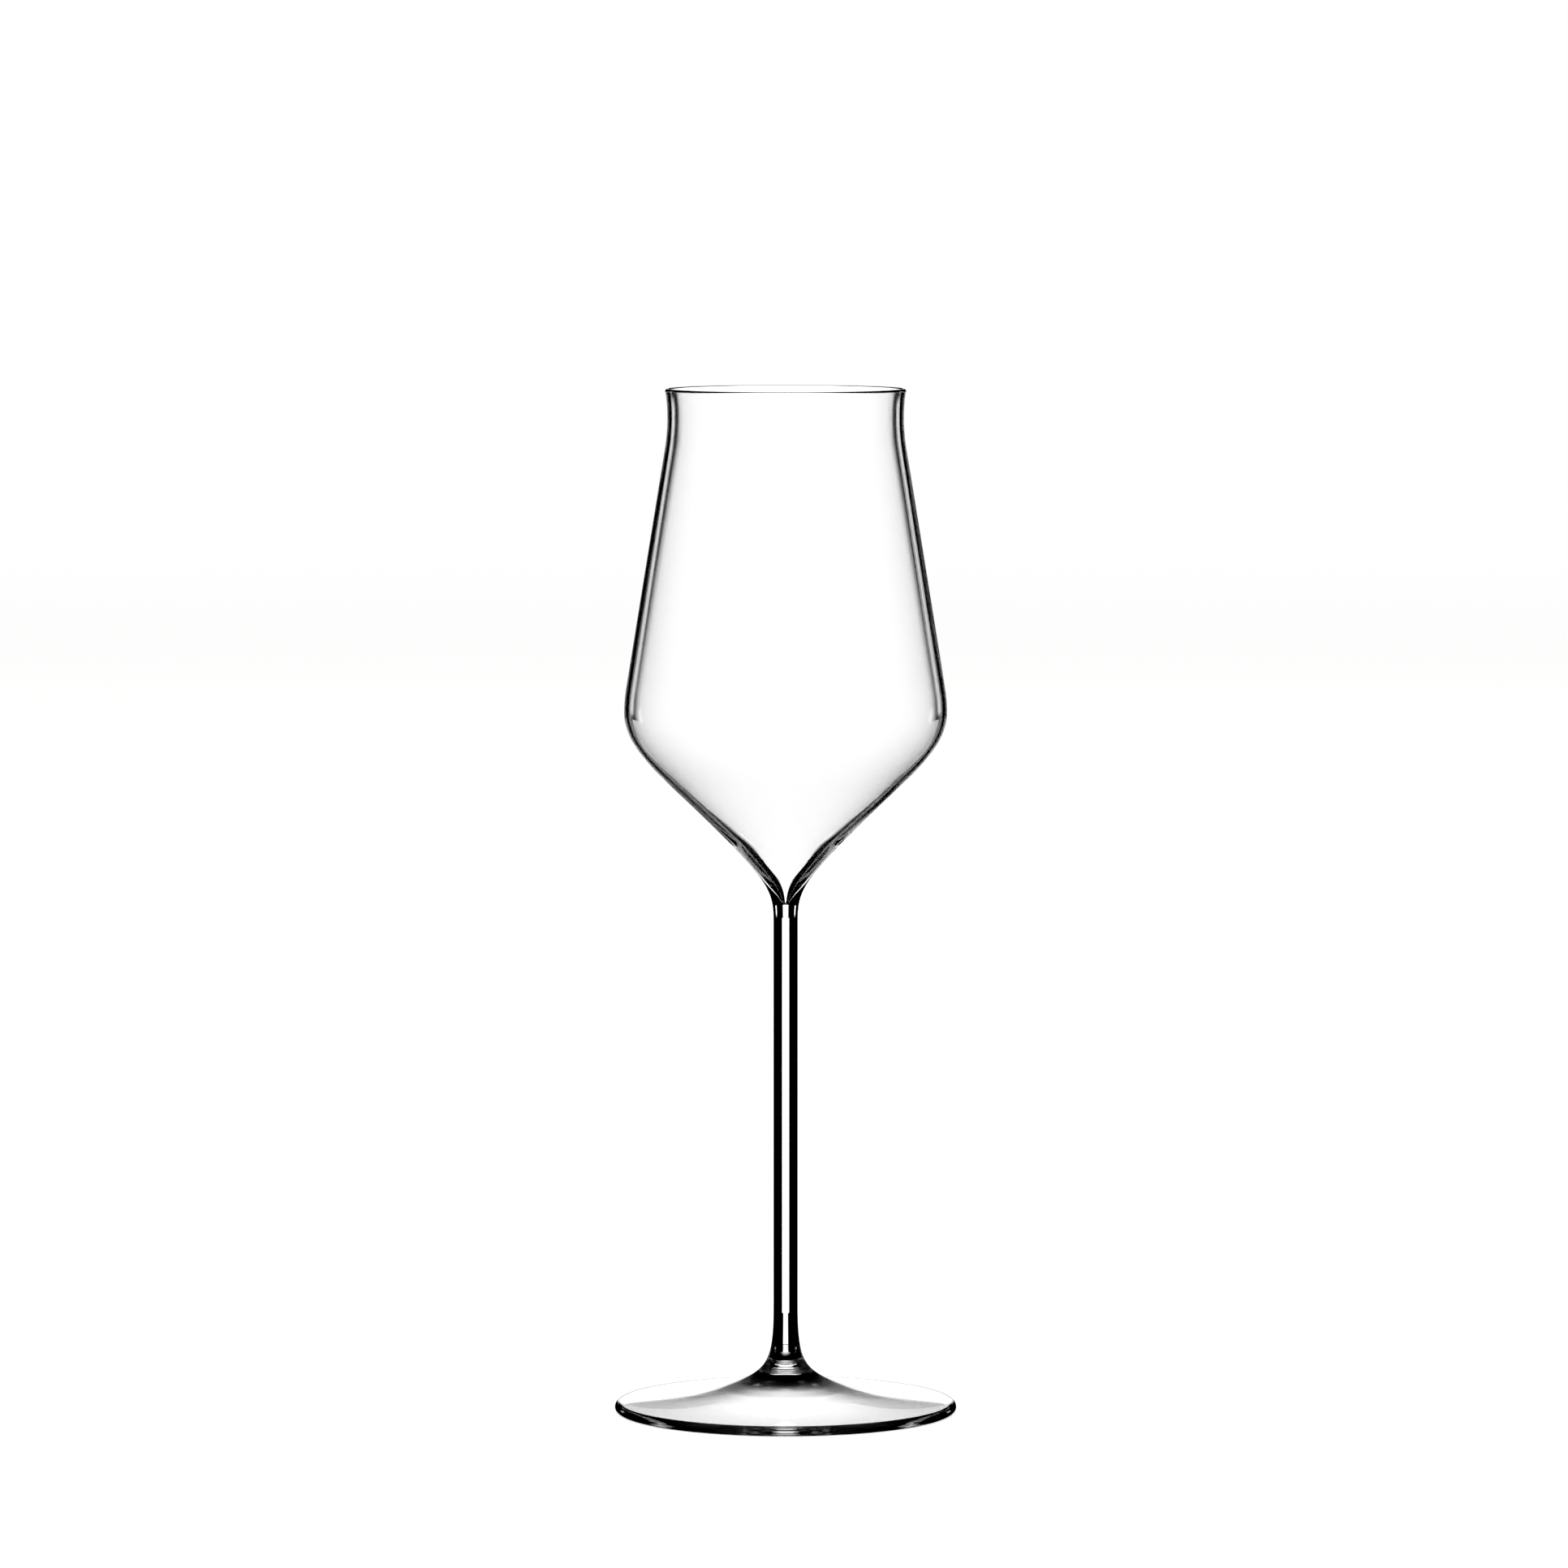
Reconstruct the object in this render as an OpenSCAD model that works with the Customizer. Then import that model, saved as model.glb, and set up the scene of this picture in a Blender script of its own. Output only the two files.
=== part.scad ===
// Stemmed sherry glass: a blown bowl fused to a drawn stem, which is fused to a thin round foot.
// Lengths are in millimetres. The origin is the middle of the ring that the foot rests on.
// Each piece is one outline turned round the Z axis. The heights stack up from the table to the rim.

/* [Foot] */
// Width of the foot
foot_d = 70.3; // [64:0.1:84]
// Thickness of the foot's rounded edge
foot_edge_t = 2.06; // [1.5:0.02:2.6]
// Width of the flat ring that the foot rests on
rest_w = 0.7; // [0.4:0.1:1.6]
// Width at which the hub's slope would meet the disc
hub_d = 39.2; // [32:0.1:46]
// Height of the disc's upper side where the hub's slope would meet it
disc_h = 2.3; // [2.1:0.05:3]
// Height at which the hub's slope would meet the stem
hub_h = 8.9; // [7.6:0.1:11]
// Width at which the hollow's slope would meet the underside of the disc
hollow_d = 38.6; // [32:0.1:44]
// Thickness of the disc where the hollow's slope starts
disc_t = 1.85; // [1.5:0.05:2.1]
// Width of the hollow's crown, where its slope would meet it
crown_d = 8; // [6:0.1:18]
// Height of the hollow's crown above the table
crown_h = 5.6; // [3:0.1:6]
// Rise of the hub's domed seat from its rim to its middle
seat_rise = 0.7; // [0.3:0.1:1.2]

/* [Stem] */
// Thickness of the stem's straight shank
stem_d = 5; // [4:0.1:7]
// Height at which the stem starts to widen into the foot
flare_h = 22.1; // [18:0.1:30]
// Length of the stem's straight shank
shank_l = 79; // [50:0.5:110]
// Length of the stem's head, from the shank to where the cone would meet the stem
head_l = 7.7; // [5:0.1:14]

/* [Bowl] */
// Thickness of the bowl's wall
wall = 0.95; // [0.6:0.05:1.4]
// Height of the cone between stem and belly
cone_h = 29; // [24:0.5:40]
// Height of the belly's widest ring above the cone's upper corner
belly_fall = 6.3; // [4:0.1:10]
// Height from the belly's widest ring to the wall's lower corner
belly_rise = 2.3; // [1.5:0.1:6]
// Height of the straight wall between its two corners
wall_h = 54.6; // [40:0.5:80]
// Height from the wall's upper corner to the neck's narrowest ring
neck_fall = 3; // [1.5:0.1:6]
// Height from the neck's narrowest ring to where the rim starts to turn out
neck_rise = 3.6; // [2:0.1:6]
// Height of the turned-out rim
rim_h = 2.4; // [1.6:0.1:5]
// Width of the belly at its widest ring
belly_d = 66.1; // [60:0.1:80]
// Width of the neck at its narrowest ring
neck_d = 48.3; // [42:0.1:50]
// Width of the rim
rim_d = 49.2; // [44:0.1:56]

/* [Point of the bowl] */
// Width of the inside where the cone turns into the steep point
well_d = 4.6; // [3.6:0.1:6]
// Height of that turn above the corner where the cone would meet the stem
well_rise = 1.4; // [0.8:0.1:2.4]
// Depth of the steep point below that turn
well_l = 5.4; // [3:0.1:7]
// Width across the rounded bottom of the steep point
nose_d = 0.7; // [0.4:0.1:1.4]
// Thickness of the bowl's glass round the steep point
point_wall = 0.7; // [0.5:0.05:1]

/* [Hidden] */
$fn = 180;

// Colour of the glass, clear and colourless
clear_glass = [0.86, 0.9, 0.91, 0.4];

// Points on each bend, points round each small edge, and the gap under which two points are one
bend_steps = 24;
edge_steps = 12;
same_point = 0.0001;

// How far the bends run along the straights beside them
hub_bend_share = 0.62;
disc_bend_share = 0.38;
hollow_bend_share = 0.47;
crown_bend_share = 0.65;
belly_bend_share = 0.26;
head_bend_share = 0.57;
well_bend_share = 0.28;
nose_bend_share = 0.2;

// How strongly each bend is pulled into its corner, at its upper and at its lower or outer end
hub_pull_shares = [0.99, 0.86];
disc_pull_shares = [0.6, 0.5];
hollow_pull_shares = [0.6, 0.6];
seat_pull_shares = [0.6, 0.6];
soft_pull_shares = [0.6, 0.6];
belly_pull_shares = [0.73, 0.74];
head_pull_shares = [0.94, 0.83];

// Where the fused seams start, as shares of the bends that they cut, and the seat's corner
bowl_seam_share = 0.3;
foot_seam_share = 0.43;
seat_corner_share = 0.5;

// The point at a share of the way from a to b
function between(a, b, share) = a + (b - a) * share;

// The point at a distance along the way from a to b
function along(a, b, distance) = a + (b - a) * distance / norm(b - a);

// A bend from a to b round corner c, with the pulls at its two ends
function make_bend(a, c, b, pulls) = [a, between(a, c, pulls[0]), between(b, c, pulls[1]), b];

// The point of a bend at a share t of its run
function bend_point(bend, t) =
    pow(1 - t, 3) * bend[0] + 3 * pow(1 - t, 2) * t * bend[1] + 3 * (1 - t) * t * t * bend[2] + pow(t, 3) * bend[3];

// The points of a bend between two shares of its run
function curve(bend, from = 0, to = 1, steps = bend_steps) =
    [for (i = [0:steps]) bend_point(bend, between(from, to, i / steps))];

// The points of an arc round a middle, between two angles
function arc(middle, radius, from, to) =
    [for (i = [0:edge_steps]) let (a = between(from, to, i / edge_steps)) middle + radius * [cos(a), sin(a)]];

// The angle from upright of the line from p that touches a circle on its right (side 1) or left (side -1)
function touch_angle(p, middle, radius, side) =
    atan2(middle.x - p.x, middle.y - p.y) + side * asin(radius / norm(middle - p));

// The point where that line touches the circle
function touch_point(p, middle, radius, side) =
    let (turn = touch_angle(p, middle, radius, side)) middle + side * radius * [cos(turn), -sin(turn)];

// The left-hand normal of the way from a to b
function left(a, b) = [a.y - b.y, b.x - a.x] / norm(b - a);

// Corner c of the way a, c, b, moved to the left by a distance
function moved_corner(a, c, b, distance) =
    c + (left(a, c) + left(c, b)) * distance / (1 + left(a, c) * left(c, b));

// A bend moved to the left by a distance
function moved_bend(a, c, b, pulls, distance) =
    make_bend(a + left(a, c) * distance, moved_corner(a, c, b, distance), b + left(c, b) * distance, pulls);

// An outline without its repeated points
function clean(points) =
    [for (i = [0:len(points) - 1]) if (i == 0 || norm(points[i] - points[max(0, i - 1)]) > same_point) points[i]];

// The stack of heights
shank_top = flare_h + shank_l;
head_z = shank_top + head_l;
cone_z = head_z + cone_h;
belly_z = cone_z + belly_fall;
wall_z = belly_z + belly_rise;
shoulder_z = wall_z + wall_h;
neck_z = shoulder_z + neck_fall;
lip_z = neck_z + neck_rise;
glass_h = lip_z + rim_h;

// Corners of the outer outline, from the rim down to the edge of the foot
rim_middle = [rim_d / 2 - wall / 2, glass_h - wall / 2];
lip_corner = [neck_d / 2, lip_z];
neck_ring = [neck_d / 2, neck_z];
shoulder_corner = [neck_d / 2, shoulder_z];
wall_corner = [belly_d / 2, wall_z];
belly_ring = [belly_d / 2, belly_z];
cone_corner = [belly_d / 2, cone_z];
head_corner = [stem_d / 2, head_z];
hub_corner = [stem_d / 2, hub_h];
disc_corner = [hub_d / 2, disc_h];
edge_middle = [foot_d / 2 - foot_edge_t / 2, foot_edge_t / 2];

// Where the rim's and the foot's rounded edges start
rim_angle = touch_angle(lip_corner, rim_middle, wall / 2, 1);
rim_start = touch_point(lip_corner, rim_middle, wall / 2, 1);
edge_angle = touch_angle(disc_corner, edge_middle, foot_edge_t / 2, -1);
edge_start = touch_point(disc_corner, edge_middle, foot_edge_t / 2, -1);

// Ends of the bends on the straights of the outer outline
shoulder_end = along(shoulder_corner, wall_corner, neck_fall);
wall_end = along(wall_corner, shoulder_corner, belly_rise);
cone_start = between(cone_corner, head_corner, belly_bend_share);
cone_end = between(head_corner, cone_corner, head_bend_share);
shank_end = [stem_d / 2, shank_top];
flare_start = [stem_d / 2, flare_h];
hub_end = between(hub_corner, disc_corner, hub_bend_share);
disc_start = between(disc_corner, hub_corner, disc_bend_share);

// Bends that the pieces share
head_bend = make_bend(cone_end, head_corner, shank_end, head_pull_shares);
hub_bend = make_bend(flare_start, hub_corner, hub_end, hub_pull_shares);

// The inside of the bowl's point, and the seam that runs round its outside
inner_cone = moved_corner(belly_ring, cone_corner, head_corner, -wall);
well_corner = [well_d / 2, head_z + well_rise];
nose_corner = [nose_d / 2, well_corner.y - well_l];
nose_tip = [0, nose_corner.y];
well_start = between(well_corner, inner_cone, well_bend_share);
nose_start = between(nose_corner, well_corner, nose_bend_share);
seam_start = bend_point(head_bend, bowl_seam_share);
seam_corner = moved_corner(inner_cone, well_corner, nose_corner, point_wall);
point_corner = moved_corner(well_corner, nose_corner, nose_tip, point_wall);
point_start = between(point_corner, seam_corner, nose_bend_share);
point_tip = [0, point_corner.y];

// The bowl's point as the stem's head cups it, from the outline down to the axis
function point_seam() = clean(concat(
    curve(make_bend(seam_start, seam_corner, point_start, soft_pull_shares)),
    curve(make_bend(point_start, point_corner, point_tip, soft_pull_shares), steps = edge_steps)
));

// The hub's domed seat, from the outline up to the axis
seat_ring = bend_point(hub_bend, foot_seam_share);
seat_top = [0, seat_ring.y + seat_rise];
seat_corner = [seat_ring.x * seat_corner_share, seat_top.y];
function seat() = curve(make_bend(seat_ring, seat_corner, seat_top, seat_pull_shares), steps = edge_steps);

// The bowl's outside, from the rim down to the seam
function bowl_outside() = concat(
    curve(make_bend(rim_start, lip_corner, neck_ring, soft_pull_shares)),
    curve(make_bend(neck_ring, shoulder_corner, shoulder_end, soft_pull_shares)),
    curve(make_bend(wall_end, wall_corner, belly_ring, soft_pull_shares)),
    curve(make_bend(belly_ring, cone_corner, cone_start, belly_pull_shares)),
    curve(head_bend, 0, bowl_seam_share)
);

// The bowl's inside, from the rim down to the point
function bowl_inside() = concat(
    curve(moved_bend(rim_start, lip_corner, neck_ring, soft_pull_shares, -wall)),
    curve(moved_bend(neck_ring, shoulder_corner, shoulder_end, soft_pull_shares, -wall)),
    curve(moved_bend(wall_end, wall_corner, belly_ring, soft_pull_shares, -wall)),
    curve(make_bend(belly_ring - [wall, 0], inner_cone, between(inner_cone, well_corner, belly_bend_share),
        belly_pull_shares)),
    curve(make_bend(well_start, well_corner, nose_start, soft_pull_shares)),
    curve(make_bend(nose_start, nose_corner, nose_tip, soft_pull_shares), steps = edge_steps)
);

// The foot's underside, from the resting ring up to the hollow's crown
rest_start = [edge_middle.x, 0];
rest_end = [edge_middle.x - rest_w, 0];
hollow_corner = [hollow_d / 2, disc_h - disc_t];
crown_corner = [crown_d / 2, crown_h];
hollow_end = between(hollow_corner, crown_corner, hollow_bend_share);
crown_start = between(hollow_corner, crown_corner, crown_bend_share);
function underside() = concat(
    curve(make_bend(rest_end, hollow_corner, hollow_end, hollow_pull_shares)),
    curve(make_bend(crown_start, crown_corner, [0, crown_h], hollow_pull_shares))
);

module bowl() {
    color(clear_glass) rotate_extrude() polygon(clean(concat(
        arc(rim_middle, wall / 2, 180 - rim_angle, -rim_angle),
        bowl_outside(),
        point_seam(),
        [for (i = [len(bowl_inside()) - 1:-1:1]) bowl_inside()[i]]
    )));
}

module stem() {
    color(clear_glass) rotate_extrude() polygon(clean(concat(
        [for (i = [len(point_seam()) - 1:-1:0]) point_seam()[i]],
        curve(head_bend, bowl_seam_share, 1),
        curve(hub_bend, 0, foot_seam_share),
        seat()
    )));
}

module foot() {
    color(clear_glass) rotate_extrude() polygon(clean(concat(
        [for (i = [edge_steps:-1:0]) seat()[i]],
        curve(hub_bend, foot_seam_share, 1),
        curve(make_bend(disc_start, disc_corner, edge_start, disc_pull_shares)),
        arc(edge_middle, foot_edge_t / 2, 180 - edge_angle, -90),
        underside()
    )));
}

bowl();
stem();
foot();
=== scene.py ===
"""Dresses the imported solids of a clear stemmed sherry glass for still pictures.

Bowl, stem and foot are turned again from the outlines of the solids, much finer, so that light
bends through them smoothly. Where two pieces are fused, their joint faces carry a finish that lets
light pass unbent, as it does in glass that has melted together.

Outlines are in millimetres, as (radius, height) from the middle of the ring that the foot rests on.
Meshes are in metres, in the frame of the solids.
"""

import logging
import math
from dataclasses import dataclass, field
from enum import Enum

import bpy
from mathutils import Matrix, Vector


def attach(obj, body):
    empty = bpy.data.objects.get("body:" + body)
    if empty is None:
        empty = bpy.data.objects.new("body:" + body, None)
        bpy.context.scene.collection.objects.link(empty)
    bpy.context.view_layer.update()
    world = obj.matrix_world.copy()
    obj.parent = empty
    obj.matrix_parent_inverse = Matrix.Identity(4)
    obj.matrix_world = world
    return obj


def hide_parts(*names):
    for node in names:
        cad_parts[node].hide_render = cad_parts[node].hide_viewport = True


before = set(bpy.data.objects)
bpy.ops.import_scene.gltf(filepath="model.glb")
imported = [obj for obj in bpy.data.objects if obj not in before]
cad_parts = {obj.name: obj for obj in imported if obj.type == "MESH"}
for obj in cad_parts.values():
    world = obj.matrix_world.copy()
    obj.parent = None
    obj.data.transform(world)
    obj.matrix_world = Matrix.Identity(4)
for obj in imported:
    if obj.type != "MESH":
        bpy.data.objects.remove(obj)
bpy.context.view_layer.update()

LOG = logging.getLogger("sherry_glass")

METRES = 0.001  # metres in a millimetre
SLICES = 240  # slices round the axis
BEND_STEPS = 28  # steps along a bend
EDGE_STEPS = 24  # steps round an edge, and along a short bend by the axis
SAME_POINT = 1e-4  # millimetres between two points of an outline that count as one
SAME_CORNER = 1e-7  # metres between two corners of a mesh that are merged
HALF = 0.5  # half the way from one whole number to the next
SLACK = 0.1  # by how much two equal whole numbers may differ in a node

Colour = tuple[float, float, float, float]
Socket = bpy.types.NodeSocket


class Body(Enum):
    """Bodies that the pieces ride on."""

    ROOT = "root"


class Slot(Enum):
    """Material slots of the record."""

    CLEAR_GLASS = "clear_glass"


class Node(Enum):
    """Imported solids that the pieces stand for."""

    BOWL = "bowl"
    STEM = "stem"
    FOOT = "foot"


# ---- outlines


def at(radius: float, height: float) -> Vector:
    """Returns the outline point at that radius and height, in millimetres."""
    return Vector((radius, height))


def along(start: Vector, end: Vector, distance: float) -> Vector:
    """Returns the point at a distance along the way from start to end."""
    return start + (end - start).normalized() * distance


def left(start: Vector, end: Vector) -> Vector:
    """Returns the unit normal on the left of the way from start to end."""
    way = (end - start).normalized()
    return Vector((-way.y, way.x))


def moved_corner(start: Vector, corner: Vector, end: Vector, distance: float) -> Vector:
    """Moves the corner of a way to the left.

    Args:
        start: Where the way starts.
        corner: Where it turns.
        end: Where it ends.
        distance: How far it moves, in millimetres.

    Returns:
        The corner of the moved way.
    """
    before, after = left(start, corner), left(corner, end)
    return corner + (before + after) * distance / (1 + before.dot(after))


@dataclass
class Bend:
    """A smooth bend round a corner, pulled into it from both ends."""

    start: Vector
    corner: Vector
    end: Vector
    start_pull: float = 0.6
    end_pull: float = 0.6

    def point(self, share: float) -> Vector:
        """Finds a point on the bend.

        Args:
            share: How far along the bend's run it lies, from 0 to 1.

        Returns:
            The point.
        """
        one = self.start.lerp(self.corner, self.start_pull)
        two = self.end.lerp(self.corner, self.end_pull)
        rest = 1 - share
        return (
            self.start * rest**3
            + one * (3 * rest**2 * share)
            + two * (3 * rest * share**2)
            + self.end * share**3
        )

    def run(self, first: float = 0, last: float = 1, steps: int = BEND_STEPS) -> list[Vector]:
        """Returns evenly spaced points between two shares of the bend's run.

        Args:
            first: Share where the run starts.
            last: Share where it ends.
            steps: Number of steps between the two.

        Returns:
            The points from first to last, ends included.
        """
        return [self.point(first + (last - first) * i / steps) for i in range(steps + 1)]

    def moved(self, distance: float) -> "Bend":
        """Moves the bend to its left.

        Args:
            distance: How far it moves, in millimetres.

        Returns:
            The moved bend.
        """
        before, after = left(self.start, self.corner), left(self.corner, self.end)
        start, end = self.start + before * distance, self.end + after * distance
        corner = moved_corner(self.start, self.corner, self.end, distance)
        return Bend(start, corner, end, self.start_pull, self.end_pull)


@dataclass
class Edge:
    """A fully rounded edge: an arc round a middle, which straight runs of an outline touch."""

    middle: Vector
    radius: float

    def angle(self, start: Vector, side: int) -> float:
        """Returns the angle from upright of the straight from start that touches a side."""
        way = self.middle - start
        return math.atan2(way.x, way.y) + side * math.asin(self.radius / way.length)

    def touch(self, start: Vector, side: int) -> Vector:
        """Returns where that straight touches the edge."""
        turn = self.angle(start, side)
        return self.middle + at(math.cos(turn), -math.sin(turn)) * self.radius * side

    def arc(self, first: float, last: float) -> list[Vector]:
        """Returns points round the edge between two angles."""
        turns = [first + (last - first) * i / EDGE_STEPS for i in range(EDGE_STEPS + 1)]
        return [self.middle + at(math.cos(t), math.sin(t)) * self.radius for t in turns]


@dataclass
class Outline:
    """A piece's outline from axis to axis.

    The steps of its fused runs are counted from its start and from its end. Its pressed side goes
    from a numbered point to the end. A zero stands for none.
    """

    points: list[Vector]
    fused_start: int = 0
    fused_end: int = 0
    pressed_from: int = 0

    @staticmethod
    def join(*runs: list[Vector]) -> list[Vector]:
        """Joins runs of points.

        Args:
            runs: The runs, each starting where the one before it ends, or further on.

        Returns:
            Their points as one list, without repeated points.
        """
        joined: list[Vector] = []
        for point in (p for run in runs for p in run):
            if not joined or (point - joined[-1]).length > SAME_POINT:
                joined.append(point)
        return joined


# ---- node trees


class TreeMaker:
    """Fills a geometry or shader tree with linked nodes."""

    def __init__(self, tree: bpy.types.NodeTree) -> None:
        """Takes a tree and empties it."""
        self.tree = tree
        tree.nodes.clear()

    def add(self, kind: str, values: dict | None = None, **settings: object) -> bpy.types.Node:
        """Adds a node, sets it up and links it.

        Args:
            kind: Blender's name for the node's type.
            values: A value, or the output to link, for each input's name or number.
            settings: The node's own settings.

        Returns:
            The new node.
        """
        node = self.tree.nodes.new(kind)
        for name, value in settings.items():
            setattr(node, name, value)
        for name, value in (values or {}).items():
            if isinstance(value, Socket):
                self.tree.links.new(value, node.inputs[name])
            else:
                node.inputs[name].default_value = value
        return node

    def math(self, operation: str, *values: Socket | float) -> Socket:
        """Returns the output of a Math node on values or outputs."""
        return self.add("ShaderNodeMath", dict(enumerate(values)), operation=operation).outputs[0]

    def ramp(self, value: Socket, start: float, end: float, low: float, high: float) -> Socket:
        """Makes a smooth ramp.

        Args:
            value: The output that runs along the ramp.
            start: Its value where the ramp starts.
            end: Its value where the ramp ends.
            low: What comes out up to the start.
            high: What comes out past the end.

        Returns:
            The ramp's output.
        """
        limits = {
            "Value": value,
            "From Min": start,
            "From Max": end,
            "To Min": low,
            "To Max": high,
        }
        node = self.add("ShaderNodeMapRange", limits, interpolation_type="SMOOTHSTEP")
        return node.outputs[0]


# ---- finishes


@dataclass(frozen=True)
class GlassFinish:
    """Clear, colourless, fire-polished glass with the faint waves of hand work. In metres."""

    name: str = "fire_polished_glass"
    tint: Colour = (1.0, 1.0, 1.0, 1.0)
    bend_index: float = 1.52
    wave_size: float = 0.012
    wave_depth: float = 0.000002
    wave_detail: float = 1.0
    wave_roughness: float = 0.4

    def material(self) -> bpy.types.Material:
        """Builds the finish.

        Returns:
            The glass material.
        """
        material = bpy.data.materials.new(self.name)
        material.use_nodes = True
        maker = TreeMaker(material.node_tree)
        spot = maker.add("ShaderNodeTexCoord").outputs["Object"]
        waves = maker.add(
            "ShaderNodeTexNoise",
            {
                "Vector": spot,
                "Scale": 1.0 / self.wave_size,
                "Detail": self.wave_detail,
                "Roughness": self.wave_roughness,
            },
        )
        relief = maker.add(
            "ShaderNodeBump", {"Distance": self.wave_depth, "Height": waves.outputs[0]}
        )
        glass = maker.add(
            "ShaderNodeBsdfPrincipled",
            {
                "Base Color": self.tint,
                "Roughness": self.roughness(maker, spot),
                "IOR": self.bend_index,
                "Transmission Weight": 1.0,
                "Normal": relief.outputs[0],
            },
        )
        maker.add("ShaderNodeOutputMaterial", {"Surface": glass.outputs[0]})
        return material

    def roughness(self, maker: TreeMaker, spot: Socket) -> Socket | float:
        """Returns how dull the glass is: here a value, elsewhere the output of nodes."""
        return 0.0


@dataclass(frozen=True)
class PressedFinish(GlassFinish):
    """Glass that a tool has pressed: a little dull in a ring round the axis. In metres."""

    name: str = "pressed_glass"
    ring_start: float = 0.003
    ring_full: float = 0.007
    ring_fade: float = 0.012
    ring_end: float = 0.02
    dull: float = 0.2

    def roughness(self, maker: TreeMaker, spot: Socket) -> Socket | float:
        """Builds the dull ring.

        Args:
            maker: The maker of the material's nodes.
            spot: The output that gives the place on the piece.

        Returns:
            The output that gives the roughness.
        """
        sideways = {0: spot, 1: (1.0, 1.0, 0.0)}
        flat = maker.add("ShaderNodeVectorMath", sideways, operation="MULTIPLY").outputs[0]
        reach = maker.add("ShaderNodeVectorMath", {0: flat}, operation="LENGTH").outputs["Value"]
        rise = maker.ramp(reach, self.ring_start, self.ring_full, 0.0, self.dull)
        fall = maker.ramp(reach, self.ring_fade, self.ring_end, 1.0, 0.0)
        return maker.math("MULTIPLY", rise, fall)


@dataclass(frozen=True)
class SeamFinish:
    """Joint faces of fused glass, which light crosses as if they weren't there."""

    name: str = "fused_seam"

    def material(self) -> bpy.types.Material:
        """Builds the finish.

        Returns:
            The seam material.
        """
        material = bpy.data.materials.new(self.name)
        material.use_nodes = True
        maker = TreeMaker(material.node_tree)
        seam = maker.add("ShaderNodeBsdfPrincipled", {"Alpha": 0.0})
        maker.add("ShaderNodeOutputMaterial", {"Surface": seam.outputs[0]})
        return material


# ---- the lathe


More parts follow.
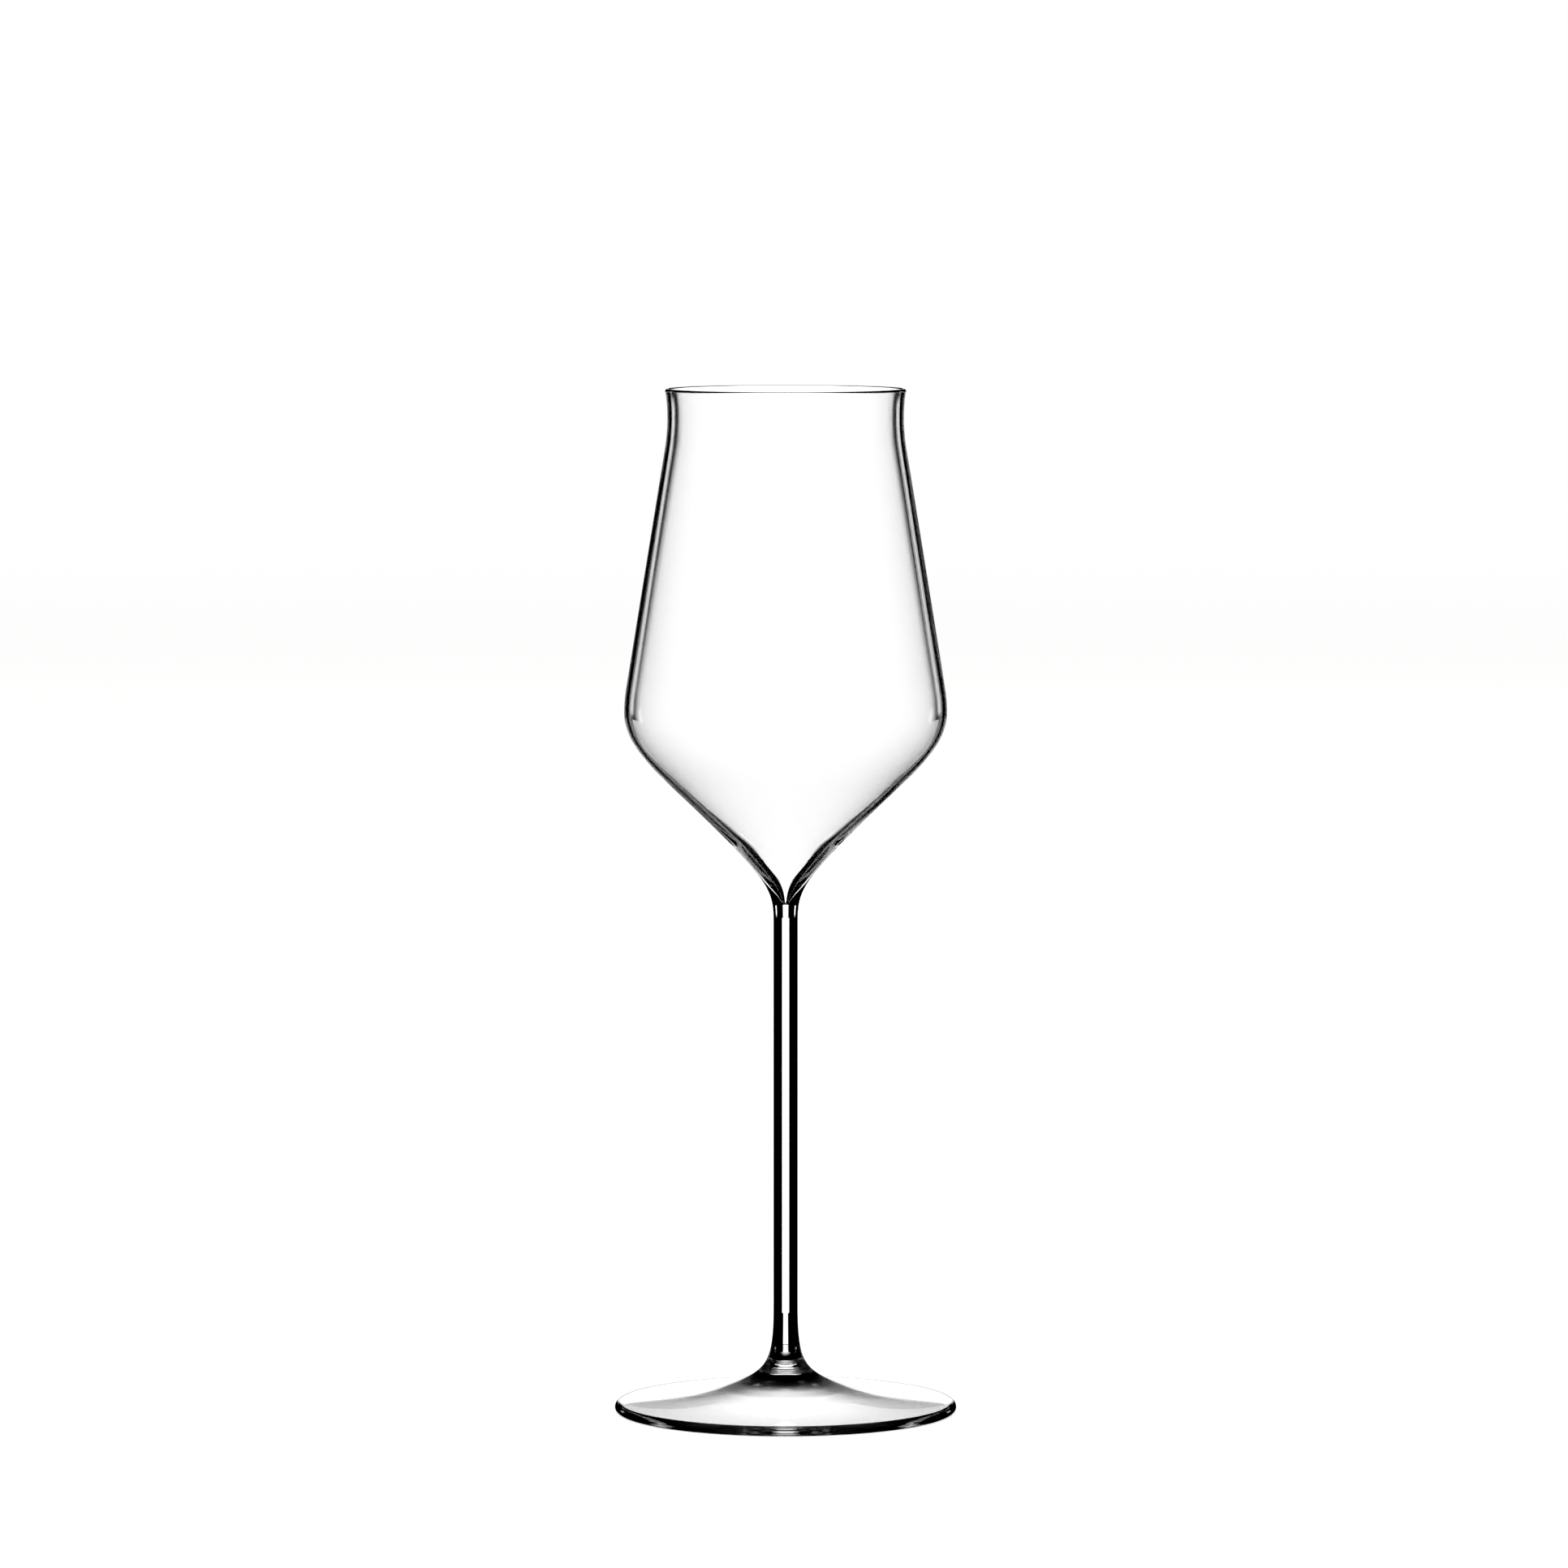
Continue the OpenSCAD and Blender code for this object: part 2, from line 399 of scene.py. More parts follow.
class LatheTree(TreeMaker):
    """The tree of geometry nodes that turns an outline round the upright axis.

    The outline's points become rings, which are numbered from its start.
    """

    def __init__(self) -> None:
        """Builds the tree: the outline rolled into a closed solid, creased and dressed."""
        super().__init__(bpy.data.node_groups.new("glass_lathe", "GeometryNodeTree"))
        self._name_inputs()
        self.given = self.add("NodeGroupInput").outputs
        solid = self._rolled()
        self.ring = self.add(
            "GeometryNodeInputNamedAttribute", {"Name": "ring"}, data_type="INT"
        ).outputs[0]
        end = self.math("SUBTRACT", self.given["Points"], 1.0)
        self.end_seam = self.math("SUBTRACT", end, self.given["Fused at end"])
        self.add("NodeGroupOutput", {0: self._dressed(self._creased(solid))})

    def _name_inputs(self) -> None:
        """Names the tree's inputs and its output."""
        face = self.tree.interface
        for name, kind in (
            ("Outline", "NodeSocketGeometry"),
            ("Slices", "NodeSocketInt"),
            ("Points", "NodeSocketInt"),
            ("Fused at start", "NodeSocketInt"),
            ("Fused at end", "NodeSocketInt"),
            ("Pressed from", "NodeSocketInt"),
            ("Glass", "NodeSocketMaterial"),
            ("Pressed glass", "NodeSocketMaterial"),
            ("Seam", "NodeSocketMaterial"),
        ):
            face.new_socket(name, in_out="INPUT", socket_type=kind)
        face.new_socket("Turned glass", in_out="OUTPUT", socket_type="NodeSocketGeometry")

    def _rolled(self) -> Socket:
        """Rolls a grid of outline points by slices round the axis, and closes it.

        Returns:
            The smooth closed mesh, with the number of its ring at each corner.
        """
        columns = self.math("ADD", self.given["Slices"], 1.0)
        grid = self.add(
            "GeometryNodeMeshGrid",
            {
                "Size X": 1.0,
                "Size Y": 1.0,
                "Vertices X": self.given["Points"],
                "Vertices Y": columns,
            },
        )
        index = self.add("GeometryNodeInputIndex").outputs[0]
        ring = self.math("FLOOR", self.math("DIVIDE", self.math("ADD", index, HALF), columns))
        slice_number = self.math("SUBTRACT", index, self.math("MULTIPLY", ring, columns))
        share = self.math("DIVIDE", slice_number, self.given["Slices"])
        turn = self.math("MULTIPLY", share, math.tau)
        sample = self.add(
            "GeometryNodeSampleIndex",
            {"Geometry": self.given["Outline"], "Index": ring},
            data_type="FLOAT_VECTOR",
            domain="POINT",
        )
        spot = self.add("GeometryNodeInputPosition").outputs[0]
        self.tree.links.new(spot, sample.inputs["Value"])
        parts = self.add("ShaderNodeSeparateXYZ", {0: sample.outputs["Value"]}).outputs
        rolled = self.add(
            "ShaderNodeCombineXYZ",
            {
                "X": self.math("MULTIPLY", parts["X"], self.math("COSINE", turn)),
                "Y": self.math("MULTIPLY", parts["X"], self.math("SINE", turn)),
                "Z": parts["Z"],
            },
        )
        marked = self.add(
            "GeometryNodeStoreNamedAttribute",
            {"Geometry": grid.outputs["Mesh"], "Name": "ring", "Value": ring},
            data_type="INT",
            domain="POINT",
        )
        shaped = self.add(
            "GeometryNodeSetPosition",
            {"Geometry": marked.outputs[0], "Position": rolled.outputs[0]},
        )
        closed = self.add(
            "GeometryNodeMergeByDistance",
            {"Geometry": shaped.outputs[0], "Distance": SAME_CORNER},
        )
        return self._smoothed(closed.outputs[0], "FACE", True)

    def _creased(self, solid: Socket) -> Socket:
        """Creases a solid along the rings where its fused faces meet its outside.

        Args:
            solid: The solid.

        Returns:
            The creased solid.
        """
        at_start = self.math("COMPARE", self.ring, self.given["Fused at start"], SLACK)
        at_end = self.math("COMPARE", self.ring, self.end_seam, SLACK)
        return self._smoothed(solid, "EDGE", False, self._either(at_start, at_end))

    def _dressed(self, solid: Socket) -> Socket:
        """Gives a solid its finishes.

        Args:
            solid: The solid.

        Returns:
            The dressed solid.
        """
        at_start, at_end = self.given["Fused at start"], self.given["Fused at end"]
        pressed = self.given["Pressed from"]
        in_start = self.math("LESS_THAN", self.ring, self.math("ADD", at_start, HALF))
        in_end = self.math("GREATER_THAN", self.ring, self.math("SUBTRACT", self.end_seam, HALF))
        under = self.math("GREATER_THAN", self.ring, self.math("SUBTRACT", pressed, HALF))
        starts, ends = self._where_any(in_start, at_start), self._where_any(in_end, at_end)
        fused, below = self._either(starts, ends), self._at_points(self._where_any(under, pressed))
        made = self.add("GeometryNodeRealizeInstances", {"Geometry": solid}).outputs[0]
        for wanted, where in (("Glass", True), ("Pressed glass", below), ("Seam", fused)):
            values = {"Geometry": made, "Selection": where, "Material": self.given[wanted]}
            made = self.add("GeometryNodeSetMaterial", values).outputs[0]
        return made

    def _smoothed(
        self, solid: Socket, domain: str, smooth: bool, where: Socket | bool = True
    ) -> Socket:
        """Sets whether a solid's faces or edges are shaded smooth.

        Args:
            solid: The solid.
            domain: Blender's name for what is set, FACE or EDGE.
            smooth: Whether they are smooth.
            where: Which of them are set.

        Returns:
            The solid.
        """
        values = {"Geometry": solid, "Selection": where, "Shade Smooth": smooth}
        return self.add("GeometryNodeSetShadeSmooth", values, domain=domain).outputs[0]

    def _where_any(self, test: Socket, count: Socket) -> Socket:
        """Returns a test that only holds where a count isn't zero."""
        return self.math("MULTIPLY", test, self.math("GREATER_THAN", count, HALF))

    def _either(self, one: Socket, other: Socket) -> Socket:
        """Returns a test that holds where one of two does, worked out at the corners."""
        return self._at_points(self.math("MAXIMUM", one, other))

    def _at_points(self, test: Socket) -> Socket:
        """Returns a test worked out at corners, which a face passes only with all of its own."""
        node = self.add(
            "GeometryNodeFieldOnDomain", {0: test}, data_type="BOOLEAN", domain="POINT"
        )
        return node.outputs[0]


@dataclass
class Lathe:
    """Turns outlines into pieces, with the finish of the glass, its pressed side and its seams."""

    glass: bpy.types.Material
    pressed: bpy.types.Material
    seam: bpy.types.Material
    tree: bpy.types.NodeTree = field(init=False)

    def __post_init__(self) -> None:
        """Builds the tree that turns every outline."""
        self.tree = LatheTree().tree

    def turn(self, name: str, outline: Outline) -> bpy.types.Object:
        """Turns an outline into a plain mesh piece.

        Args:
            name: The piece's name.
            outline: Its outline.

        Returns:
            The piece, with the finishes that it shows in its material slots.
        """
        places = [(p.x * METRES, 0.0, p.y * METRES) for p in outline.points]
        wire = bpy.data.meshes.new(f"{name}_outline")
        wire.from_pydata(places, [(i, i + 1) for i in range(len(places) - 1)], [])
        blank = add_object(f"{name}_blank", wire)
        modifier = blank.modifiers.new("lathe", "NODES")
        self._set_inputs(modifier, outline)
        evaluated = blank.evaluated_get(bpy.context.evaluated_depsgraph_get())
        mesh = bpy.data.meshes.new_from_object(evaluated)
        blank.modifiers.remove(modifier)
        bpy.data.objects.remove(blank)
        bpy.data.meshes.remove(wire)
        mesh.name = name
        mesh.attributes.remove(mesh.attributes["ring"])
        shown = {face.material_index for face in mesh.polygons}
        for index in reversed(range(len(mesh.materials))):
            if index not in shown:
                mesh.materials.pop(index=index)
        return add_object(name, mesh)

    def _set_inputs(self, modifier: bpy.types.NodesModifier, outline: Outline) -> None:
        """Hands the tree and an outline's values to a modifier.

        Args:
            modifier: The modifier.
            outline: The outline that it turns.
        """
        modifier.node_group = self.tree
        values = {
            "Slices": SLICES,
            "Points": len(outline.points),
            "Fused at start": outline.fused_start,
            "Fused at end": outline.fused_end,
            "Pressed from": outline.pressed_from,
            "Glass": self.glass,
            "Pressed glass": self.pressed,
            "Seam": self.seam,
        }
        for item in self.tree.interface.items_tree:
            if item.in_out == "INPUT" and item.name in values:
                modifier[item.identifier] = values[item.name]


def add_object(name: str, data: bpy.types.ID) -> bpy.types.Object:
    """Makes an object and puts it in the scene.

    Args:
        name: Its name.
        data: Its mesh, camera or light.

    Returns:
        The object.
    """
    made = bpy.data.objects.new(name, data)
    bpy.context.scene.collection.objects.link(made)
    return made


def stand_for(piece: bpy.types.Object, node: Node) -> None:
    """Puts a finished piece on its body, in the place of its solid.

    Args:
        piece: The piece.
        node: The solid that it stands for.
    """
    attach(piece, Body.ROOT.value)
    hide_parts(node.value)


# ---- the glass


@dataclass
class StemSizes:
    """Sizes that the pieces share: the stem's width and where its bends lie, in millimetres."""

    width: float = 5.0
    flare_height: float = 22.1
    shank_length: float = 79.0
    head_length: float = 7.7

    @property
    def shank_top(self) -> float:
        """Height where the shank ends."""
        return self.flare_height + self.shank_length

    @property
    def head_height(self) -> float:
        """Height where the bowl's cone would meet the stem."""
        return self.shank_top + self.head_length


@dataclass
class HubJoint:
    """The bend from the stem into the foot, cut by the foot's domed seat. In millimetres."""

    stem: StemSizes
    disc_corner: Vector
    hub_height: float = 8.9
    bend_share: float = 0.62
    pulls: tuple[float, float] = (0.99, 0.86)
    seam_share: float = 0.43
    seat_rise: float = 0.7
    seat_corner_share: float = 0.5

    @property
    def corner(self) -> Vector:
        """Where the hub's slope would meet the stem."""
        return at(self.stem.width / 2, self.hub_height)

    @property
    def bend(self) -> Bend:
        """The bend that stem and foot share.

        Returns:
            The bend from the shank to the hub's slope.
        """
        start = at(self.stem.width / 2, self.stem.flare_height)
        end = self.corner.lerp(self.disc_corner, self.bend_share)
        return Bend(start, self.corner, end, *self.pulls)

    def seat(self) -> list[Vector]:
        """Draws the seat.

        Returns:
            Its points from the outline up to the axis.
        """
        ring = self.bend.point(self.seam_share)
        top = at(0, ring.y + self.seat_rise)
        return Bend(ring, at(ring.x * self.seat_corner_share, top.y), top).run(steps=EDGE_STEPS)


@dataclass
class Foot:
    """The foot: a hub that takes the stem, and a thin disc that is hollow below. In millimetres."""

    stem: StemSizes
    width: float = 70.3
    edge_thickness: float = 2.06
    rest_width: float = 0.7
    hub_width: float = 39.2
    disc_height: float = 2.3
    disc_bend_share: float = 0.38
    disc_pulls: tuple[float, float] = (0.6, 0.5)
    hollow_width: float = 38.6
    disc_thickness: float = 1.85
    crown_width: float = 8.0
    crown_height: float = 5.6
    hollow_bend_share: float = 0.47
    crown_bend_share: float = 0.65
    joint: HubJoint = field(init=False)

    def __post_init__(self) -> None:
        """Makes the joint that the stem shares."""
        self.joint = HubJoint(self.stem, at(self.hub_width / 2, self.disc_height))

    def underside(self, edge: Edge) -> list[Vector]:
        """Draws the underside.

        Args:
            edge: The disc's rounded edge.

        Returns:
            The points from the resting ring up to the hollow's crown.
        """
        rest_end = at(edge.middle.x - self.rest_width, 0)
        hollow = at(self.hollow_width / 2, self.disc_height - self.disc_thickness)
        crown = at(self.crown_width / 2, self.crown_height)
        hollow_end = hollow.lerp(crown, self.hollow_bend_share)
        crown_start = hollow.lerp(crown, self.crown_bend_share)
        return Outline.join(
            Bend(rest_end, hollow, hollow_end).run(),
            Bend(crown_start, crown, at(0, self.crown_height)).run(),
        )

    def outline(self) -> Outline:
        """Draws the foot.

        Returns:
            Its outline from the seat's top over the disc and back under it to the axis.
        """
        radius = self.edge_thickness / 2
        edge = Edge(at(self.width / 2 - radius, radius), radius)
        disc = self.joint.disc_corner
        disc_start = disc.lerp(self.joint.corner, self.disc_bend_share)
        seat = self.joint.seat()[::-1]
        under = self.underside(edge)
        points = Outline.join(
            seat,
            self.joint.bend.run(self.joint.seam_share, 1),
            Bend(disc_start, disc, edge.touch(disc, -1), *self.disc_pulls).run(),
            edge.arc(math.pi - edge.angle(disc, -1), -math.pi / 2),
            under,
        )
        return Outline(points, fused_start=len(seat) - 1, pressed_from=len(points) - len(under))

    def build(self, lathe: Lathe) -> bpy.types.Object:
        """Builds the foot, dresses it and puts it in place.

        Args:
            lathe: The lathe that turns it.

        Returns:
            The piece.
        """
        piece = lathe.turn("pressed_foot", self.outline())
        stand_for(piece, Node.FOOT)
        return piece


@dataclass
class Bowl:
    """The bowl: rim, neck, wall, belly, cone, and a steep point in the stem's head. In millimetres.

    Its corners are where the straights of the outside would meet, and its rings are where the
    outside is upright.
    """

    stem: StemSizes
    wall: float = 0.95
    cone_height: float = 29.0
    belly_fall: float = 6.3
    belly_rise: float = 2.3
    wall_height: float = 54.6
    neck_fall: float = 3.0
    neck_rise: float = 3.6
    rim_height: float = 2.4
    belly_width: float = 66.1
    neck_width: float = 48.3
    rim_width: float = 49.2
    well_width: float = 4.6
    well_rise: float = 1.4
    well_length: float = 5.4
    nose_width: float = 0.7
    point_wall: float = 0.7
    belly_bend_share: float = 0.26
    head_bend_share: float = 0.57
    well_bend_share: float = 0.28
    nose_bend_share: float = 0.2
    seam_share: float = 0.3
    belly_pulls: tuple[float, float] = (0.73, 0.74)
    head_pulls: tuple[float, float] = (0.94, 0.83)
    head_corner: Vector = field(init=False)
    cone_corner: Vector = field(init=False)
    belly_ring: Vector = field(init=False)
    wall_corner: Vector = field(init=False)
    shoulder_corner: Vector = field(init=False)
    neck_ring: Vector = field(init=False)
    lip_corner: Vector = field(init=False)
    height: float = field(init=False)

    def __post_init__(self) -> None:
        """Places the corners and rings of the outline."""
        cone = self.stem.head_height + self.cone_height
        belly = cone + self.belly_fall
        lower = belly + self.belly_rise
        shoulder = lower + self.wall_height
        neck = shoulder + self.neck_fall
        lip = neck + self.neck_rise
        half_belly, half_neck = self.belly_width / 2, self.neck_width / 2
        self.head_corner = at(self.stem.width / 2, self.stem.head_height)
        self.cone_corner = at(half_belly, cone)
        self.belly_ring = at(half_belly, belly)
        self.wall_corner = at(half_belly, lower)
        self.shoulder_corner = at(half_neck, shoulder)
        self.neck_ring = at(half_neck, neck)
        self.lip_corner = at(half_neck, lip)
        self.height = lip + self.rim_height

    def head_bend(self) -> Bend:
        """Draws the bend that bowl and stem share.

        Returns:
            The bend from the cone into the stem's shank.
        """
        start = self.head_corner.lerp(self.cone_corner, self.head_bend_share)
        end = at(self.stem.width / 2, self.stem.shank_top)
        return Bend(start, self.head_corner, end, *self.head_pulls)

    def inside_corners(self) -> tuple[Vector, Vector, Vector, Vector]:
        """Places the inside's corners.

        Returns:
            The corners of the cone, the well and the nose, and the nose's tip on the axis.
        """
        cone = moved_corner(self.belly_ring, self.cone_corner, self.head_corner, -self.wall)
        well = at(self.well_width / 2, self.stem.head_height + self.well_rise)
        nose = at(self.nose_width / 2, well.y - self.well_length)
        return cone, well, nose, at(0, nose.y)

    def upper_bends(self) -> tuple[Bend, Bend, Bend, Bend]:
        """Draws the outside from the lip to the cone.

        Returns:
            The bends of the lip, the shoulder, the lower wall and the belly.
        """
        shoulder_end = along(self.shoulder_corner, self.wall_corner, self.neck_fall)
        wall_start = along(self.wall_corner, self.shoulder_corner, self.belly_rise)
        belly_end = self.cone_corner.lerp(self.head_corner, self.belly_bend_share)
        return (
            Bend(self.rim().touch(self.lip_corner, 1), self.lip_corner, self.neck_ring),
            Bend(self.neck_ring, self.shoulder_corner, shoulder_end),
            Bend(wall_start, self.wall_corner, self.belly_ring),
            Bend(self.belly_ring, self.cone_corner, belly_end, *self.belly_pulls),
        )

    def rim(self) -> Edge:
        """Returns the rim's rounded edge."""
        radius = self.wall / 2
        return Edge(at(self.rim_width / 2 - radius, self.height - radius), radius)

    def inside(self) -> list[Vector]:
        """Draws the inside.

        Returns:
            Its points from the rim down to the nose's tip.
        """
        cone, well, nose, tip = self.inside_corners()
        cone_start = self.belly_ring - at(self.wall, 0)
        cone_end = cone.lerp(well, self.belly_bend_share)
        well_start = well.lerp(cone, self.well_bend_share)
        nose_start = nose.lerp(well, self.nose_bend_share)
        return Outline.join(
            *(bend.moved(-self.wall).run() for bend in self.upper_bends()[:-1]),
            Bend(cone_start, cone, cone_end, *self.belly_pulls).run(),
            Bend(well_start, well, nose_start).run(),
            Bend(nose_start, nose, tip).run(steps=EDGE_STEPS),
        )

    def point_seam(self) -> list[Vector]:
        """Draws the fused point's outside.

        Returns:
            Its points from the outline down to the axis.
        """
        cone, well, nose, tip = self.inside_corners()
        start = self.head_bend().point(self.seam_share)
        corner = moved_corner(cone, well, nose, self.point_wall)
        low_corner = moved_corner(well, nose, tip, self.point_wall)
        low_start = low_corner.lerp(corner, self.nose_bend_share)
        return Outline.join(
            Bend(start, corner, low_start).run(),
            Bend(low_start, low_corner, at(0, low_corner.y)).run(steps=EDGE_STEPS),
        )

    def outline(self) -> Outline:
        """Draws the bowl.

        Returns:
            Its outline from the nose up the inside, over the rim and down to the seam's tip.
        """
        turn = self.rim().angle(self.lip_corner, 1)
        seam = self.point_seam()
        points = Outline.join(
            self.inside()[::-1],
            self.rim().arc(math.pi - turn, -turn),
            *(bend.run() for bend in self.upper_bends()),
            self.head_bend().run(0, self.seam_share),
            seam,
        )
        return Outline(points, fused_end=len(seam) - 1)

    def build(self, lathe: Lathe) -> bpy.types.Object:
        """Builds the bowl, dresses it and puts it in place.

        Args:
            lathe: The lathe that turns it.

        Returns:
            The piece.
        """
        piece = lathe.turn("blown_bowl", self.outline())
        stand_for(piece, Node.BOWL)
        return piece


@dataclass
class Stem:
    """The stem: a head that cups the bowl's point, a slim shank, and the start of the flare."""

    bowl: Bowl
    foot: Foot

    def outline(self) -> Outline:
        """Draws the stem.

        Returns:
            Its outline from the seam's tip down the shank to the seat's top.
        """
        seam = self.bowl.point_seam()[::-1]
        joint = self.foot.joint
        seat = joint.seat()
        points = Outline.join(
            seam,
            self.bowl.head_bend().run(self.bowl.seam_share, 1),
            joint.bend.run(0, joint.seam_share),
            seat,
        )
        return Outline(points, fused_start=len(seam) - 1, fused_end=len(seat) - 1)

    def build(self, lathe: Lathe) -> bpy.types.Object:
        """Builds the stem, dresses it and puts it in place.

        Args:
            lathe: The lathe that turns it.

        Returns:
            The piece.
        """
        piece = lathe.turn("drawn_stem", self.outline())
        stand_for(piece, Node.STEM)
        return piece


# ---- the studio


@dataclass
class PhotoCamera:
    """The camera at the photograph's place and angle. Lengths in metres, angles in degrees."""

    sensor: float = 36.0
    focal_pixels: float = 10200.0
    picture_pixels: float = 1932.0
    place: tuple[float, float, float] = (-0.00033, -1.6871, 0.26182)
    tilt: float = 4.494
    nearest: float = 0.01
    furthest: float = 50.0

    def build(self) -> bpy.types.Object:
        """Builds the camera and makes it the scene's own.

        Returns:
            The camera.
        """
        data = bpy.data.cameras.new("photo_camera")
        data.sensor_width = self.sensor
        data.lens = self.sensor * self.focal_pixels / self.picture_pixels
        data.clip_start, data.clip_end = self.nearest, self.furthest
        camera = add_object("photo_camera", data)
        camera.location = self.place
        camera.rotation_euler = (math.pi / 2 - math.radians(self.tilt), 0, 0)
        bpy.context.scene.camera = camera
        return camera


@dataclass
class Panel:
    """A glowing upright panel round the glass, carried by the camera.

    Its light falls off over its soft widths, and not at all where they are zero. Lengths in
    metres, turn in degrees.
    """

    name: str
    half_width: float
    low: float
    high: float
    light: float
    soft_side: float
    soft_top: float
    soft_foot: float
    distance: float = 2.0
    turn: float = 0.0

    def glow(self) -> bpy.types.Material:
        """Builds the panel's light.

        Returns:
            The glowing material.
        """
        material = bpy.data.materials.new(self.name)
        material.use_nodes = True
        maker = TreeMaker(material.node_tree)
        place = maker.add("ShaderNodeTexCoord").outputs["Object"]
        spot = maker.add("ShaderNodeSeparateXYZ", {0: place}).outputs
        across, up = maker.math("ABSOLUTE", spot["X"]), spot["Z"]
        side_start = self.half_width - self.soft_side
        strength = maker.ramp(across, side_start, self.half_width, self.light, 0.0)
        if self.soft_top:
            top = maker.ramp(up, self.high - self.soft_top, self.high, 1.0, 0.0)
            strength = maker.math("MULTIPLY", strength, top)
        if self.soft_foot:
            foot = maker.ramp(up, self.low, self.low + self.soft_foot, 0.0, 1.0)
            strength = maker.math("MULTIPLY", strength, foot)
        glow = maker.add("ShaderNodeEmission", {"Strength": strength})
        maker.add("ShaderNodeOutputMaterial", {"Surface": glow.outputs[0]})
        return material

    def build(self, camera: bpy.types.Object) -> None:
        """Builds the panel and hands it to the camera.

        Args:
            camera: The camera that carries it.
        """
        reach, low, high = self.half_width, self.low, self.high
        corners = [(-reach, 0, low), (reach, 0, low), (reach, 0, high), (-reach, 0, high)]
        mesh = bpy.data.meshes.new(self.name)
        mesh.from_pydata(corners, [], [(0, 1, 2, 3)])
        mesh.materials.append(self.glow())
        panel = add_object(self.name, mesh)
        way = math.radians(self.turn)
        panel.location = (self.distance * math.sin(way), self.distance * math.cos(way), 0)
        panel.rotation_euler = (0, 0, -way)
        panel.visible_camera = False
        panel.visible_diffuse = False
        panel.visible_shadow = False
        bpy.context.view_layer.update()
        world_place = panel.matrix_world.copy()
        panel.parent = camera
        panel.matrix_parent_inverse = Matrix.Identity(4)
        panel.matrix_world = world_place


@dataclass
class BrightField(Panel):
    """The bright field behind the bowl, whose soft sides draw the double line along its wall."""

    name: str = "bright_field"
    half_width: float = 0.35
    low: float = -0.055
    high: float = 0.33
    light: float = 1.25
    soft_side: float = 0.13
    soft_top: float = 0.01
    soft_foot: float = 0.0


@dataclass
class StemField(Panel):
    """The field's wider part behind the stem, whose width sets the bright stripe in the stem."""

    name: str = "stem_field"
    half_width: float = 0.42
    low: float = -0.3
    high: float = -0.055
    light: float = 1.25
    soft_side: float = 0.01
    soft_top: float = 0.0
    soft_foot: float = 0.0


@dataclass
class LowField(Panel):
    """The narrower, brighter field below it, which stands in for a lit white table."""

    name: str = "low_field"
    half_width: float = 0.3
    low: float = -2.0
    high: float = -0.3
    light: float = 1.6
    soft_side: float = 0.12
    soft_top: float = 0.0
    soft_foot: float = 0.01


@dataclass
class SideBox(Panel):
    """A small box beside the bright field, which draws the bright line along the bowl's edges."""

    half_width: float = 0.125
    low: float = -0.05
    high: float = 0.4
    light: float = 1.5
    soft_side: float = 0.01
    soft_top: float = 0.05
    soft_foot: float = 0.12


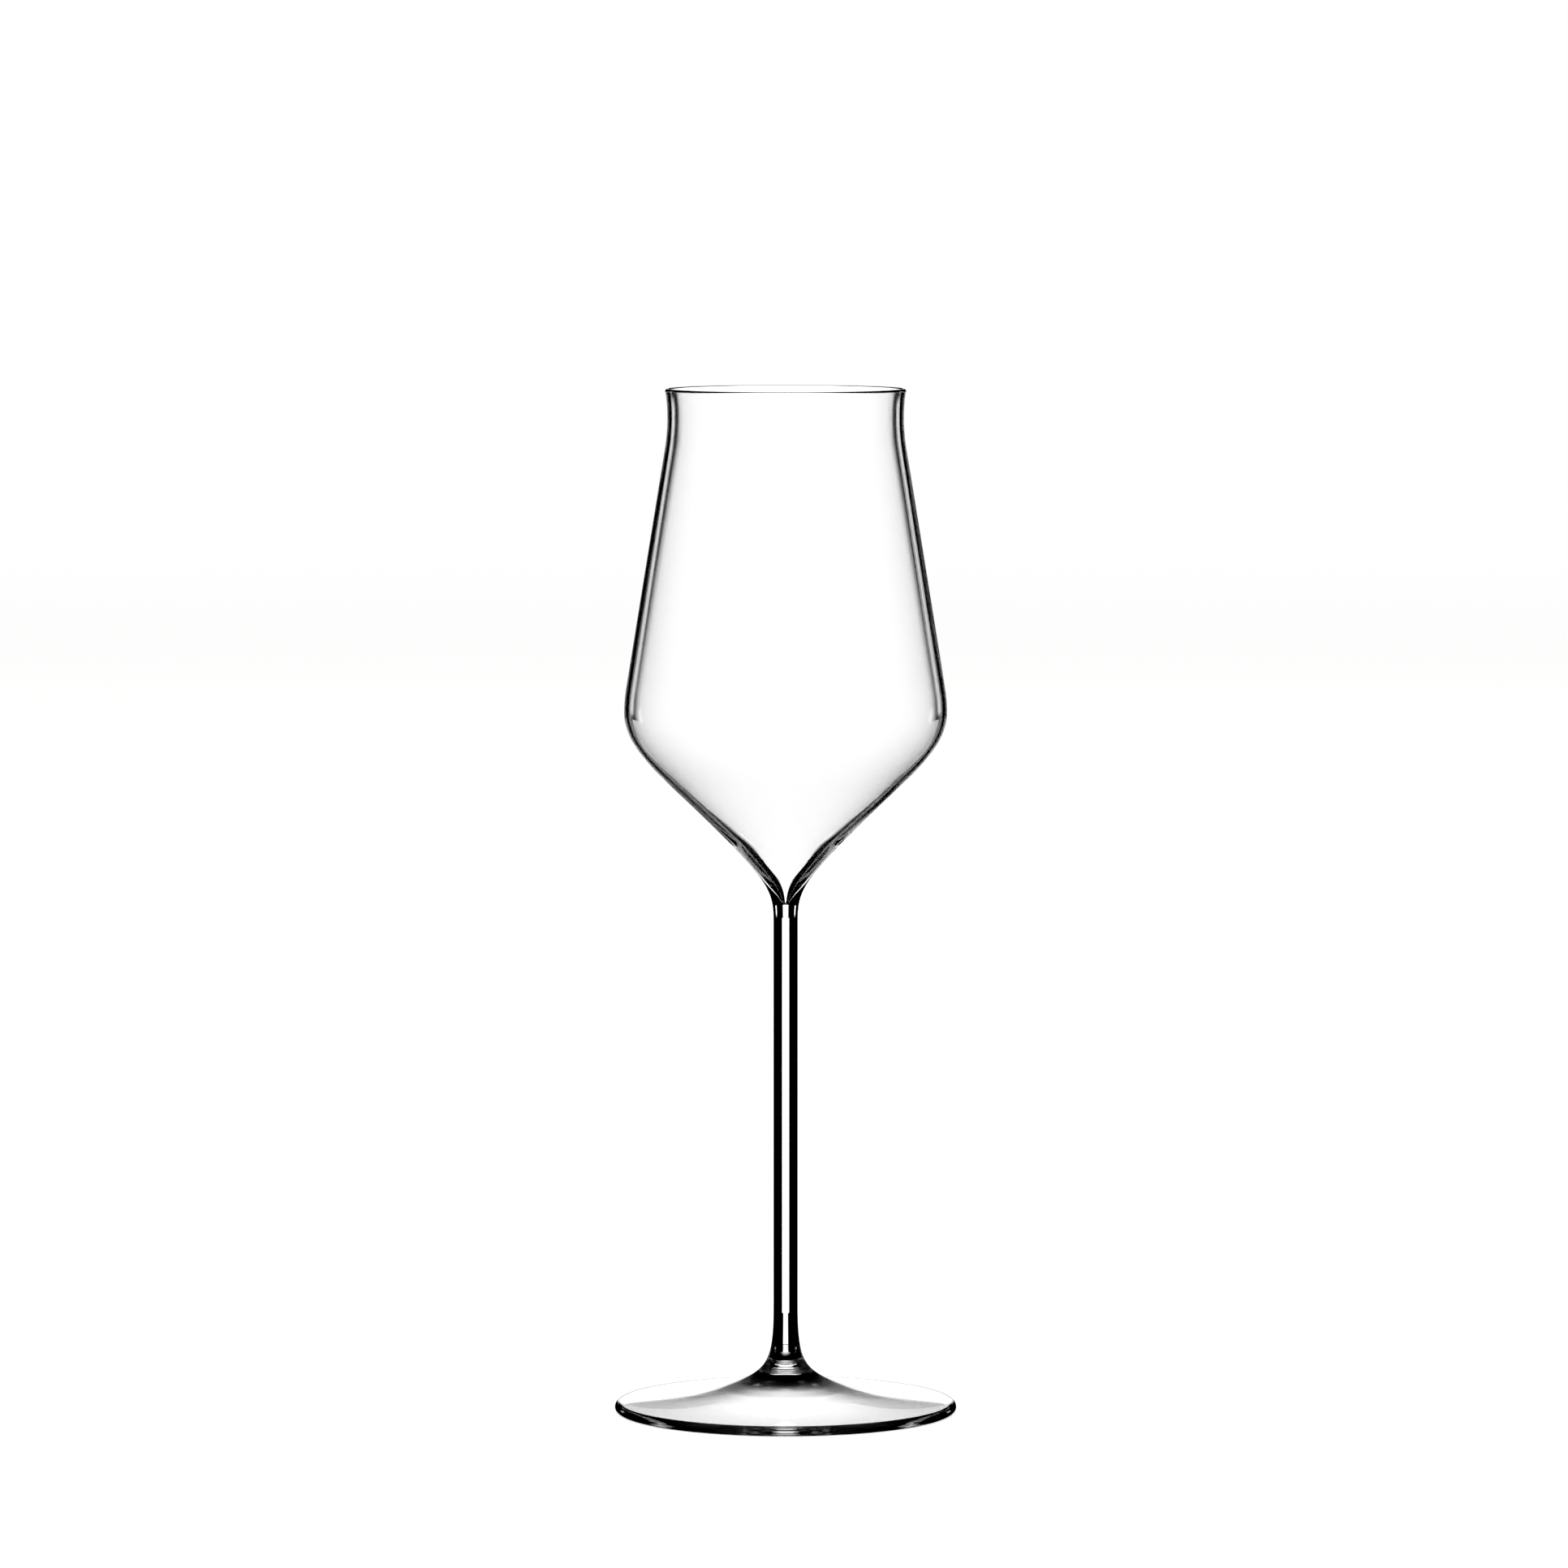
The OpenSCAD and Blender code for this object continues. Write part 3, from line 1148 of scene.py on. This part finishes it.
@dataclass
class Studio:
    """Pale floor and room, a soft lamp over the floor, and bright panels for the glass.

    Clear glass is drawn by what it bends into view, so it sees bright panels in the dark. The
    camera carries them, as when the glass stands on a turntable before it. Lengths in metres,
    turn in degrees.
    """

    floor_radius: float = 4.0
    floor_clear: float = 1.2
    floor_gone: float = 3.6
    floor_corners: int = 96
    floor_colour: Colour = (0.86, 0.86, 0.85, 1.0)
    pale: Colour = (1.0, 1.0, 1.0, 1.0)
    lamp_height: float = 1.6
    lamp_size: float = 2.4
    lamp_power: float = 30.0
    box_turn: float = 37.1
    bounces: int = 32
    glossy_bounces: int = 16

    def build(self, camera: bpy.types.Object) -> None:
        """Builds the room, the floor, the lamp and the panels.

        Args:
            camera: The camera that carries the panels.
        """
        self._room()
        self._floor()
        self._lamp()
        boxes = [SideBox("left_box", turn=-self.box_turn), SideBox("right_box", turn=self.box_turn)]
        for panel in [BrightField(), StemField(), LowField(), *boxes]:
            panel.build(camera)
        self._picture()

    def _room(self) -> None:
        """Gives the eye and the floor a pale room, and the glass a dark one."""
        world = bpy.data.worlds.new("pale_room")
        bpy.context.scene.world = world
        world.use_nodes = True
        maker = TreeMaker(world.node_tree)
        path = maker.add("ShaderNodeLightPath").outputs
        bent = maker.math("MAXIMUM", path["Is Glossy Ray"], path["Is Transmission Ray"])
        room = maker.add(
            "ShaderNodeBackground",
            {"Color": self.pale, "Strength": maker.math("SUBTRACT", 1.0, bent)},
        )
        maker.add("ShaderNodeOutputWorld", {"Surface": room.outputs[0]})

    def _floor(self) -> None:
        """Lays a pale round floor that fades into the room and can be looked through from below."""
        turns = [math.tau * i / self.floor_corners for i in range(self.floor_corners)]
        reach = self.floor_radius
        rim = [(reach * math.cos(turn), reach * math.sin(turn), 0) for turn in turns]
        mesh = bpy.data.meshes.new("pale_floor")
        mesh.from_pydata(rim, [], [tuple(range(self.floor_corners))])
        material = bpy.data.materials.new("pale_floor")
        material.use_nodes = True
        maker = TreeMaker(material.node_tree)
        spot = maker.add("ShaderNodeTexCoord").outputs["Object"]
        distance = maker.add("ShaderNodeVectorMath", {0: spot}, operation="LENGTH").outputs["Value"]
        fade = maker.ramp(distance, self.floor_clear, self.floor_gone, 0.0, 1.0)
        below = maker.add("ShaderNodeNewGeometry").outputs["Backfacing"]
        hidden = maker.math("MAXIMUM", fade, below)
        matt = maker.add("ShaderNodeBsdfDiffuse", {"Color": self.floor_colour}).outputs[0]
        clear = maker.add("ShaderNodeBsdfTransparent").outputs[0]
        both = maker.add("ShaderNodeMixShader", {0: hidden, 1: matt, 2: clear})
        maker.add("ShaderNodeOutputMaterial", {"Surface": both.outputs[0]})
        mesh.materials.append(material)
        floor = add_object("pale_floor", mesh)
        floor.visible_transmission = False
        floor.visible_glossy = False

    def _lamp(self) -> None:
        """Hangs a large soft lamp over the floor, which the glass doesn't mirror."""
        data = bpy.data.lights.new("soft_lamp", "AREA")
        data.shape = "DISK"
        data.size = self.lamp_size
        data.energy = self.lamp_power
        lamp = add_object("soft_lamp", data)
        lamp.location = (0, 0, self.lamp_height)
        lamp.visible_glossy = False
        lamp.visible_transmission = False
        lamp.visible_camera = False

    def _picture(self) -> None:
        """Sets plain tones, clean noise and enough bounces for light in glass."""
        scene = bpy.context.scene
        scene.view_settings.view_transform = "Standard"
        scene.cycles.use_denoising = True
        scene.cycles.max_bounces = self.bounces
        scene.cycles.transmission_bounces = self.bounces
        scene.cycles.glossy_bounces = self.glossy_bounces
        scene.cycles.transparent_max_bounces = self.bounces


def main() -> None:
    """Builds the glass and its studio."""
    logging.basicConfig(level=logging.INFO, format="%(name)s: %(message)s")
    camera = PhotoCamera().build()
    lathe = Lathe(GlassFinish().material(), PressedFinish().material(), SeamFinish().material())
    sizes = StemSizes()
    foot, bowl = Foot(sizes), Bowl(sizes)
    for part in (bowl, Stem(bowl, foot), foot):
        piece = part.build(lathe)
        piece.visible_shadow = False  # the photograph shows no shadow
        LOG.info("%s: %d faces", piece.name, len(piece.data.polygons))
    Studio().build(camera)


if __name__ == "__main__":
    main()
